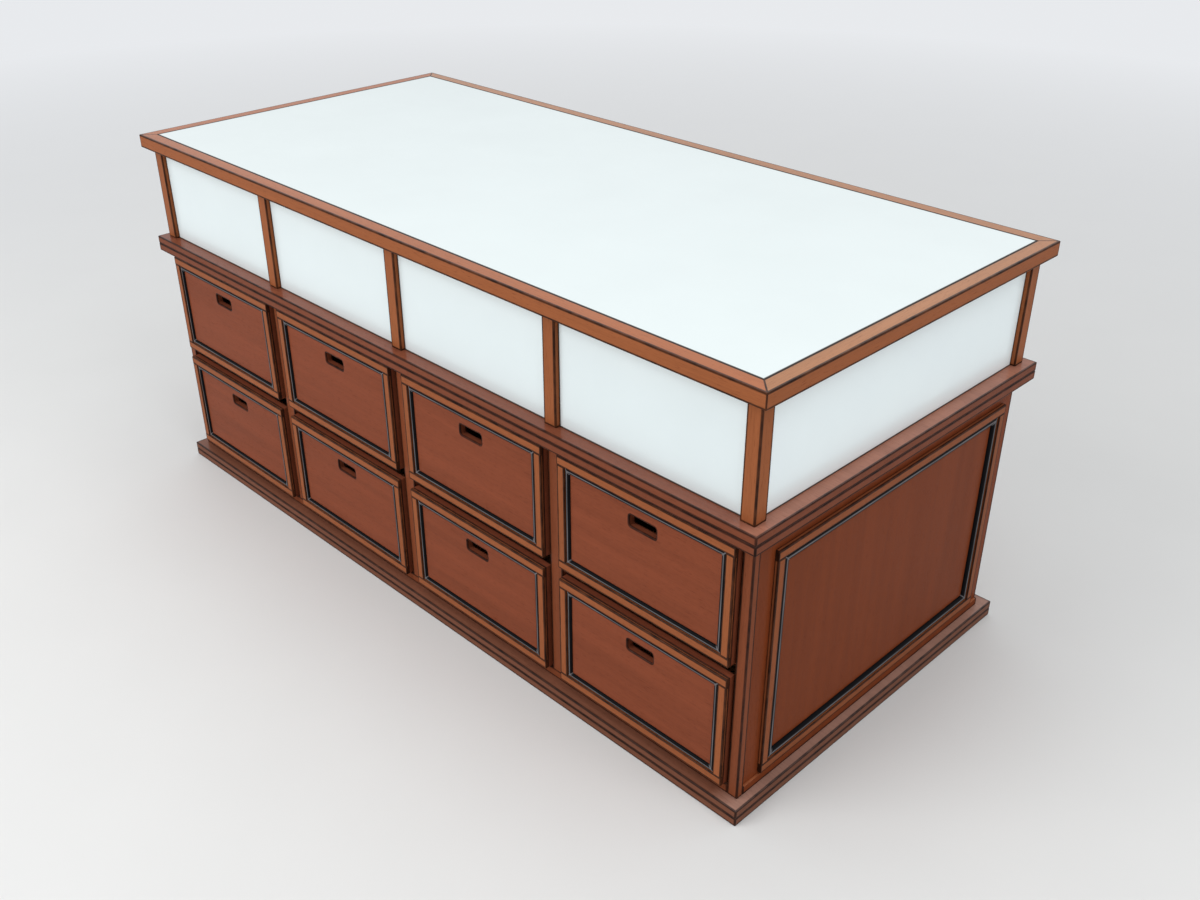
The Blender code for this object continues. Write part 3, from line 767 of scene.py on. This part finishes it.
def sticks_round(section, middle, right, out, half, shorter=0, logs=(0, 0, 0, 0), **cut):
    """A rail and a stile on each side of a middle. The stiles are shorter, to stand between the rails."""
    half_width, half_height = half
    rail_reach, stile_reach = half_width * right, (half_height - shorter) * Z
    sticks = []
    for side in (-1, 1):
        for way, far, reach in ((Z, half_height, rail_reach), (right, half_width, stile_reach)):
            edge, log = middle + side * far * way, logs[len(sticks)]
            sticks.append(stick(section, edge - reach, edge + reach, -side * way, out, log=log, **cut))
    return sticks


print("width of a bar:", FRAME_WIDTH)

# %% [markdown]
# ## Wood for the modelled members
# The sticks carry their grain and their edges with them, as attributes of the mesh, so one material
# serves all members of a tone. The solids needed one each.

# %% Member wood
def read_attributes(tree):
    """What a modelled piece says of itself: how its grain runs, and its mask."""
    grain = add(tree, "ShaderNodeAttribute", attribute_name="grain").outputs["Vector"]
    mask = add(tree, "ShaderNodeAttribute", attribute_name="arris").outputs["Fac"]
    return grain, mask


def member_wood(tone, glaze=GLAZE, paling=UPPER_PAINTED_LIGHT):
    """Wood that takes its grain and its edges from the piece that wears it."""
    material, tree = new_material(f"{tone}_member_wood")
    wood_shader(tree, tone, *read_attributes(tree), glaze, paling)
    return material


frame_wood = member_wood("frame")
end_frame_wood = member_wood("end_frame")
print("woods:", frame_wood.name, end_frame_wood.name)

# %% [markdown]
# ## The dark bead
# Inside each frame lies a half-round bead, mitred at its corners, which shows as a black line with a soft
# light on its crest. Its section is half an ellipse, thin on the drawers and thick on the ends. Its mask
# marks the crest instead of an arris.

# %% Bead
BEAD_STEPS = 23
CREST_POWER = 60


def bead_section(width, rise):
    """Half an ellipse on its flat: the first axis runs in from the frame, the second stands off the panel.

    The mask is a high power of the height, so that it keeps to the crest.
    """
    turn = np.linspace(0, np.pi, BEAD_STEPS)
    curve = np.stack([width / 2 * (1 + np.cos(turn)), rise * np.sin(turn)], axis=1)
    return curve, np.sin(turn) ** CREST_POWER


print("points round a bead:", BEAD_STEPS)

# %% [markdown]
# ## Ebonised wood
# Ebonising stains a plain wood until it looks like ebony. The grain then shows mostly in the shine, and
# the crest gets a painted grey highlight. A flat black would swallow the roundness of the bead.

# %% Ebonised finish
BEAD_TONE = (15, 15, 17)
# The grey of the painted highlight along the bead's crest
CREST_HIGHLIGHT_TONE = (126, 122, 124)
STAIN_SWING = 0.3
CREST_HIGHLIGHT_SPREAD = (0.3, 0.6)
CREST_HIGHLIGHT_SHARE = (0.5, 1.0)
BEAD_ROUGHNESS = (0.30, 0.45)


def ebonised():
    """Wood stained near black, with a painted grey highlight on its crest, broken up where the fibres stand
    up.
    """
    material, tree = new_material("ebonised_bead")
    place, crest = read_attributes(tree)
    fibres = noise(tree, place, FIBRES_PER_METRE, detail=3)
    stained = mixed(tree, fibres, *swung(BEAD_TONE, STAIN_SWING))
    # The painted highlight: grey on the crest, broken up by the fibres
    crest_highlight = arithmetic(tree, "MULTIPLY", crest, remap(tree, fibres, *CREST_HIGHLIGHT_SPREAD, *CREST_HIGHLIGHT_SHARE))
    feeds = {
        "Base Color": mixed(tree, crest_highlight, stained, (*linear(*CREST_HIGHLIGHT_TONE), 1)),
        "Roughness": remap(tree, fibres, *NOISE_SPREAD, *BEAD_ROUGHNESS),
        "Specular IOR Level": SPECULAR_LEVEL,
    }
    feed(tree, tree.nodes["Principled BSDF"], feeds)
    return material


bead_black = ebonised()
print("finish", bead_black.name)

# %% [markdown]
# ## Frames on the drawers and the ends
# A drawer's frame travels with its drawer, and an end's frame stays with the cabinet. One function lays
# them all: it reads the frame's box, and is told which way is right and which way is out.

# %% Frames and beads
DRAWERS = [f"{row}_{column}" for row in ("lower", "upper") for column in (1, 2, 3, 4)]
ENDS = {"left": -1, "right": 1}
DRAWER_BEAD = (0.0115, 0.0048)
END_BEAD = (0.0175, 0.0068)
BEAD_EASE = 0.0004
# Each bar's place in the log, in the order of laying
BAR_LOGS = np.array([-1, 2, 1, 4])
FRAME_STRIDE = 7
END_LOG, END_STRIDE = 61, 9


def framed_panel(kind, place, body, right, out, bead, wood, log):
    """The bars and the bead that replace one frame. Its back is the face that out points away from."""
    node = f"{kind}_frame_{place}"
    low, high = solid_box(node)
    middle = np.where(out > 0, low, np.where(out < 0, high, (low + high) / 2))
    width, height, thickness = (abs(np.dot(high - low, axis)) for axis in (right, Z, out))
    panel, half = (middle, right, out), np.array([width, height]) / 2
    bars = sticks_round(frame_section(thickness), *panel, half, FRAME_WIDTH, log + BAR_LOGS)
    inner = half - FRAME_WIDTH
    beads = sticks_round(bead_section(*bead), *panel, inner, mitres=MITRED, ease=BEAD_EASE)
    piece(f"{kind}_frame_bars_{place}", bars, wood, body, [node])
    piece(f"{kind}_bead_{place}", beads, bead_black, body, [node])


for number, drawer in enumerate(DRAWERS):
    log = FRAME_STRIDE * number
    framed_panel("drawer", drawer, f"drawer_{drawer}", X, -Y, DRAWER_BEAD, frame_wood, log)
for place, side in ENDS.items():
    log = END_LOG + END_STRIDE * side
    framed_panel("end", place, "cabinet", Y, side * X, END_BEAD, end_frame_wood, log)
print("frames and beads:", len(DRAWERS) + len(ENDS))

# %% [markdown]
# ## Top rails of the showcase
# Four rails are mitred round the top pane, which lies flush in their rebates. Below, grooves take the
# panes and, at the back, the two sliding doors. A router cuts these into a plain stick. Here the outline
# walks round every cut, so that no Boolean is needed. The cuts are read off the frame's own pieces, with a
# little play, and room to lift a door in. The right and the rear rail are painted palest on top: painted
# light.

# %% Top rails
PANE_JOINT = 0.001
DOOR_LIFT = 0.004
RAIL_EASE = 0.0006
RAIL_LOG, RAIL_STRIDE = 41, 3
RAIL_ARRIS, PANE_ARRIS = 0.0016, 0.0008
RAIL_LINE = 0.0032


def rail_section(width, height, face, rebate, grooves):
    """The rail's outline: in from its outer face, and up from its underside."""
    corners = [(0, 0)]
    for begin, finish, deep in grooves:
        corners += [(begin, 0), (begin, deep), (finish, deep), (finish, 0)]
    shelf = height - rebate
    corners += [(width, 0), (width, shelf), (face, shelf), (face, height), (0, height)]
    hidden = [HIDDEN_RADIUS] * (len(corners) - 3)
    return filleted(corners, [RAIL_ARRIS, *hidden, PANE_ARRIS, RAIL_ARRIS], RAIL_LINE)


low, high = solid_box("top_rail_front")
width, height = high[1] - low[1], high[2] - low[2]
pane_low = solid_box("top_pane")[0]
face, rebate = pane_low[1] - low[1] - PANE_JOINT, high[2] - pane_low[2] + FIT
front_low, front_high = solid_box("front_pane_1")
near, far = front_low[1] - low[1] - FIT, front_high[1] - low[1] + FIT
pane_groove = (near, far, front_high[2] - low[2] + FIT)
rear_low, rear_high = solid_box("top_rail_rear")
door_grooves = []
for place in ENDS:
    door_low, door_high = solid_box(f"rear_door_{place}")
    near, far = rear_high[1] - door_high[1] - FIT, rear_high[1] - door_low[1] + FIT
    door_grooves.append((near, far, door_high[2] - rear_low[2] + DOOR_LIFT))
half_x, half_y = cad_box[1].x, cad_box[1].y
post_wood = member_wood("post")
# The right and rear rails get more painted light on their upper faces
painted_light_rail_wood = member_wood("painted_light_rail", paling=RAIL_PAINTED_LIGHT)
RAILS = {
    "front": ((-half_x, -half_y), (half_x, -half_y), Y, [pane_groove], post_wood),
    "right": ((half_x, -half_y), (half_x, half_y), -X, [pane_groove], painted_light_rail_wood),
    "rear": ((half_x, half_y), (-half_x, half_y), -Y, door_grooves, painted_light_rail_wood),
    "left": ((-half_x, half_y), (-half_x, -half_y), X, [pane_groove], post_wood),
}
for number, (place, (start, end, inward, grooves, wood)) in enumerate(RAILS.items()):
    section = rail_section(width, height, face, rebate, grooves)
    ends = (*start, low[2]), (*end, low[2])
    rail = stick(section, *ends, inward, Z, MITRED, RAIL_EASE, RAIL_LOG + RAIL_STRIDE * number)
    piece(f"showcase_rail_{place}", [rail], wood, "cabinet", [f"top_rail_{place}"])
print("mitred rails:", len(RAILS))

# %% [markdown]
# ## Outlines and rims of a slab
# A drawer front and a sliding pane are slabs: stacks of one rounded rectangle, each copy drawn in by its
# own amount, at its own depth. A Bevel modifier would ease a plain slab, but a stack can go on into a
# slot or a hollow.

# %% Outlines and rims
HAIR_RADIUS = HIDDEN_RADIUS / 4


def rounded_rectangles(width, height, radius, grown, steps=ARC_STEPS + 1):
    """Copies of a rounded rectangle, each grown by its own amount on every side.

    A corner is a quarter circle of the radius plus the growth, and never less than a hair.
    """
    grown = grown[:, None, None]
    radius = np.maximum(radius + grown, HAIR_RADIUS)
    side = np.array([(1, 1), (-1, 1), (-1, -1), (1, -1)])[:, None, :]
    turn = (np.arange(4)[:, None] + np.linspace(0, 1, steps)) * np.pi / 2
    x = side[..., 0] * (width / 2 + grown - radius) + radius * np.cos(turn)
    z = side[..., 1] * (height / 2 + grown - radius) + radius * np.sin(turn)
    return np.stack([x, z], axis=-1).reshape(len(grown), -1, 2)


def eased_rim(thickness, radius, wall):
    """The copies over a slab's edge, from one face to the other: how far drawn in, how deep, and the mask.

    The edge is eased by quarter circles, where the mask is 1, with a flat wall between them that has a mask
    of its own. The first and the last copy lie on the faces, a margin further in.
    """
    drawn, rise = eased(radius)
    margin = [radius + ARRIS_MARGIN]
    drawn_in = np.concatenate([margin, drawn, drawn[::-1], margin])
    depth = np.concatenate([[0], rise, thickness - rise[::-1], [thickness]])
    on_edge = np.concatenate([[0], np.ones(len(drawn) - 1), [wall]])
    return drawn_in, depth, np.concatenate([on_edge, on_edge[::-1]])


print("rings over a rim:", 2 * (ARC_STEPS + 2))

# %% [markdown]
# ## Drawer fronts with a hand slot
# Each front is a slab with a slot cut through near its top, where the fingers go in. A Boolean cut leaves
# a sharp rim. Here the slab is a ring: its outline and the slot's have as many points, and the surface
# goes from one to the other over eased rims, across the face, down the slot and back behind. Its walls
# keep a trace of glaze.

# %% Slotted fronts
SLOT_LENGTH, SLOT_HEIGHT, SLOT_RADIUS, SLOT_DROP = 0.068, 0.025, 0.005, 0.064
SLAB_EASE, SLOT_EASE = 0.0010, 0.0018
SLAB_STAIN, SLOT_STAIN = 0.06, 0.12
SLAB_LOG = 5


def slotted_slab(low, high, log):
    """A ring surface from the slab's outline to the slot's, closed behind.

    Each copy of an outline is drawn in by a share of its easing radius and stands at its own depth.
    """
    width, thickness, height = high - low
    rim_in, rim_depth, rim_mask = eased_rim(thickness, SLAB_EASE, SLAB_STAIN)
    slot_out, slot_depth, slot_mask = eased_rim(thickness, SLOT_EASE, SLOT_STAIN)
    rims = rounded_rectangles(width, height, SLAB_EASE, -rim_in)
    slots = rounded_rectangles(SLOT_LENGTH, SLOT_HEIGHT, SLOT_RADIUS, slot_out)
    flat = np.concatenate([rims, slots + (0, height / 2 - SLOT_DROP)])
    depth = np.concatenate([rim_depth, thickness - slot_depth])[:, None] + np.zeros(flat.shape[1])
    points = np.stack([flat[..., 0], -depth, flat[..., 1]], axis=-1).reshape(-1, 3)
    rings, around = depth.shape
    faces = (ring_faces(rings + 1, around) % len(points)).tolist()
    mask = np.repeat(np.concatenate([rim_mask, slot_mask]), around)
    middle = np.array([(low[0] + high[0]) / 2, high[1], (low[2] + high[2]) / 2])
    return points + middle, faces, points + log * LOG_STEP, mask


front_wood = member_wood("front")
for number, drawer in enumerate(DRAWERS):
    node = f"drawer_front_{drawer}"
    slab = slotted_slab(*solid_box(node), SLAB_LOG + number)
    piece(f"drawer_slab_{drawer}", [slab], front_wood, f"drawer_{drawer}", [node])
print("slotted fronts:", len(DRAWERS))

# %% [markdown]
# ## Drawer boxes
# Behind each front is a box of pale wood: two sides with rounded top edges, a lower back between them,
# and a thin floor. Boards are sticks too, with the grain along them. This wood has no dark glaze, only
# edges that hands have darkened a little.

# %% Drawer boxes
SIDE_THICKNESS = 0.012
FLOOR_THICKNESS = 0.006
FLOOR_RISE = 0.010
BACK_DROP = 0.012
TOP_ROUND = 0.003
HANDLED_EDGE = (*linear(132, 90, 57), 1)
TRAY_LOG, TRAY_STRIDE = 90, 4
BACK_LOG, FLOOR_LOG = 1, 2


def upright_board(height):
    """A board's section on edge, with its two top edges rounded."""
    radii = [FRAME_ARRIS, FRAME_ARRIS, TOP_ROUND, TOP_ROUND]
    return filleted(rectangle(SIDE_THICKNESS, height), radii)


def drawer_tray(low, high, log):
    """Two sides from front to back, and between them the back and the floor."""
    right = high[0] - SIDE_THICKNESS
    inner_left, inner_right = low[0] + SIDE_THICKNESS + FIT, right - FIT
    section = upright_board(high[2] - low[2])
    boards = []
    for edge in (low[0], right):
        ends = (edge, low[1], low[2]), (edge, high[1], low[2])
        boards.append(stick(section, *ends, X, Z, log=log))
    floor_bottom = low[2] + FLOOR_RISE
    floor_top = floor_bottom + FLOOR_THICKNESS
    section = upright_board(high[2] - BACK_DROP - floor_top - FIT)
    ends = ((inner, high[1] - SIDE_THICKNESS, floor_top + FIT) for inner in (inner_left, inner_right))
    boards.append(stick(section, *ends, Y, Z, log=log + BACK_LOG))
    section = filleted(rectangle(high[1] - low[1], FLOOR_THICKNESS), [HIDDEN_RADIUS] * 4)
    ends = ((inner, low[1], floor_bottom) for inner in (inner_left, inner_right))
    boards.append(stick(section, *ends, Y, Z, log=log + FLOOR_LOG))
    return boards


inside_wood = member_wood("inside", HANDLED_EDGE)
for number, drawer in enumerate(DRAWERS):
    node = f"drawer_box_{drawer}"
    tray = drawer_tray(*solid_box(node), TRAY_LOG + TRAY_STRIDE * number)
    piece(f"drawer_tray_{drawer}", tray, inside_wood, f"drawer_{drawer}", [node])
print("drawer boxes:", len(DRAWERS))

# %% [markdown]
# ## Sliding doors with ground finger grips
# Two panes close the back of the showcase and slide past each other in grooves. The fingers move a pane
# by a shallow oval hollow, ground into its rear face, so the hollow and the pane's edges are matt. A dent
# in a grid would need fine faces all over. Rings need few: round the edge, across the face to the oval,
# and down the hollow in ever smaller ellipses.

# %% Sliding doors
GRIP_LENGTH, GRIP_WIDTH, GRIP_DEPTH, GRIP_FROM_END = 0.070, 0.022, 0.0025, 0.045
GRIP_RIM = 0.0004
GRIP_RINGS = 10
CORNER_POINTS = 14
GROUND_EDGE = 1
GROUND = (205, 217, 216)
GROUND_ROUGHNESS = 0.5


def ellipses(half_axes):
    """Ellipses, each with its own two half axes, and points in the middle of even steps in angle."""
    turn = (np.arange(4 * CORNER_POINTS) + 0.5) / CORNER_POINTS * np.pi / 2
    return half_axes[:, None] * np.stack([np.cos(turn), np.sin(turn)], axis=-1)


def gripped_pane(low, high, grip_x):
    """Rings over a pane's edge, then across its rear face and down into the hollow of the grip.

    The hollow is half an ellipsoid: its rings are the cosine of an angle wide and the sine of it deep.
    """
    width, thickness, height = high - low
    rim_in, rim_depth, rim_mask = eased_rim(thickness, PANE_EASE, GROUND_EDGE)
    rims = rounded_rectangles(width, height, PANE_EASE, -rim_in, CORNER_POINTS)
    half = np.array([GRIP_WIDTH, GRIP_LENGTH]) / 2
    angle = np.linspace(0, np.pi / 2, GRIP_RINGS, endpoint=False)
    half_axes = np.concatenate([[half + GRIP_RIM], np.cos(angle)[:, None] * half])
    middle = (low + high) / 2
    flat = np.concatenate([rims, ellipses(half_axes) + (middle[0] - grip_x, 0)])
    depth = np.concatenate([rim_depth, [thickness], thickness - GRIP_DEPTH * np.sin(angle)])
    rings, around = flat.shape[:2]
    y = low[1] + depth[:, None] + np.zeros(around)
    points = np.stack([middle[0] - flat[..., 0], y, middle[2] + flat[..., 1]], axis=-1).reshape(-1, 3)
    ground = np.concatenate([rim_mask, [0], np.ones(GRIP_RINGS)])
    return points, capped_faces(rings, around), points, np.repeat(ground, around)


def ground_parts(tree, place):
    """The mask of what is ground: the pane's edges and the hollow."""
    return read_attributes(tree)[1]


door_glass = opal_glass("sliding_door", OPAL["front_pane"], ground_parts, GROUND, GROUND_ROUGHNESS)
for place, side in ENDS.items():
    node = f"rear_door_{place}"
    low, high = solid_box(node)
    outer_end = high[0] if side > 0 else low[0]
    pane = gripped_pane(low, high, outer_end - side * GRIP_FROM_END)
    piece(f"sliding_pane_{place}", [pane], door_glass, f"door_{place}", [node])
print("sliding doors:", len(ENDS))

# %% [markdown]
# ## Floor
# The counter stands on a pale plain floor. A photographer would hang up paper, so that no horizon is
# seen. Ours is a flat square that takes on the sky's colour far away, which works from all sides.

# %% Floor
FLOOR_HALF = 40.0
FLOOR_POINTS = 5
FLOOR_TONE = (226, 226, 224)
FLOOR_ROUGHNESS = 0.7
MOTTLES_PER_METRE = (3, 3, 3)
MOTTLE_SWING = 0.02
FADE_FROM, FADE_TO = 1.9, 6.5
SKY_COLOUR = (0.95, 0.97, 1.0, 1)
SKY_SEEN = 0.85


def seen_rays(tree):
    """1 for a ray from the camera, straight or by way of a shine or glass, and 0 for the light itself."""
    rays = add(tree, "ShaderNodeLightPath").outputs
    seen = arithmetic(tree, "MAXIMUM", rays["Is Camera Ray"], rays["Is Glossy Ray"])
    return arithmetic(tree, "MAXIMUM", seen, rays["Is Transmission Ray"])


def floor_paper():
    """A faintly mottled matt tone that turns into the sky's colour far from the counter."""
    material, tree = new_material("pale_floor")
    place = add(tree, "ShaderNodeTexCoord").outputs["Object"]
    mottle = noise(tree, place, MOTTLES_PER_METRE, detail=4)
    shader = tree.nodes["Principled BSDF"]
    colour = mixed(tree, mottle, *swung(FLOOR_TONE, MOTTLE_SWING))
    feed(tree, shader, {"Base Color": colour, "Roughness": FLOOR_ROUGHNESS})
    away = add(tree, "ShaderNodeVectorMath", {0: place}, operation="LENGTH").outputs["Value"]
    paling = arithmetic(tree, "MULTIPLY", remap(tree, away, FADE_FROM, FADE_TO), seen_rays(tree))
    haze = add(tree, "ShaderNodeEmission", {"Color": SKY_COLOUR, "Strength": SKY_SEEN})
    blend = add(tree, "ShaderNodeMixShader", {0: paling, 1: shader.outputs[0], 2: haze.outputs[0]})
    feed(tree, tree.nodes["Material Output"], {"Surface": blend.outputs[0]})
    return material


def pale_floor():
    """A square on two parameters, each from -1 to 1, at the level of the counter's base."""
    u, v = np.meshgrid(*[np.linspace(-1, 1, FLOOR_POINTS)] * 2)
    points = np.stack([u * FLOOR_HALF, v * FLOOR_HALF, np.zeros_like(u)], axis=-1).reshape(-1, 3)
    step = np.arange(FLOOR_POINTS - 1)
    corner = (step[:, None] * FLOOR_POINTS + step).ravel()
    above = corner + FLOOR_POINTS
    mesh = bpy.data.meshes.new("floor")
    squares = np.stack([corner, corner + 1, above + 1, above], axis=1)
    mesh.from_pydata(points.tolist(), [], squares.tolist())
    mesh.materials.append(floor_paper())
    new_object("floor", mesh)
    return len(squares)


print("squares of floor:", pale_floor())

# %% [markdown]
# ## Sky and lamps
# A large soft lamp over the drawer side lights the fronts, a weak one overhead the top, and a third at
# the right keeps that end a shade darker. An even sky fills the rest, and looks paler than it shines. A
# picture of a studio could do it too, but plain lamps are easier to balance.

# %% Sky and lamps
SKY_LIGHT = 0.66
# Each lamp's place, the point it shines at, its size and its watts
SOFTBOXES = {
    "front_softbox": ((-1.2, -4.4, 3.6), (0, 0, 0.5), 3.5, 128),
    "overhead_softbox": ((-0.2, 0.3, 4.4), (0, 0, 0.8), 3.5, 24),
    "end_softbox": ((3.2, -0.4, 3.9), (0.9, 0, 0.5), 2.5, 46),
}


def softbox(name, place, target, size, watts):
    """A square lamp at a place, turned to shine at a point."""
    lamp = bpy.data.lights.new(name, "AREA")
    lamp.shape = "SQUARE"
    lamp.size = size
    lamp.energy = watts
    obj = new_object(name, lamp)
    aim(obj, place, Vector(target) - Vector(place))
    obj.visible_camera = False


world = bpy.data.worlds.new("sky")
world.use_nodes = True
bpy.context.scene.world = world
sky = world.node_tree
strength = remap(sky, seen_rays(sky), 0.0, 1.0, SKY_LIGHT, SKY_SEEN)
feed(sky, sky.nodes["Background"], {"Color": SKY_COLOUR, "Strength": strength})
for name, settings in SOFTBOXES.items():
    softbox(name, *settings)
print("lamps:", len(SOFTBOXES))
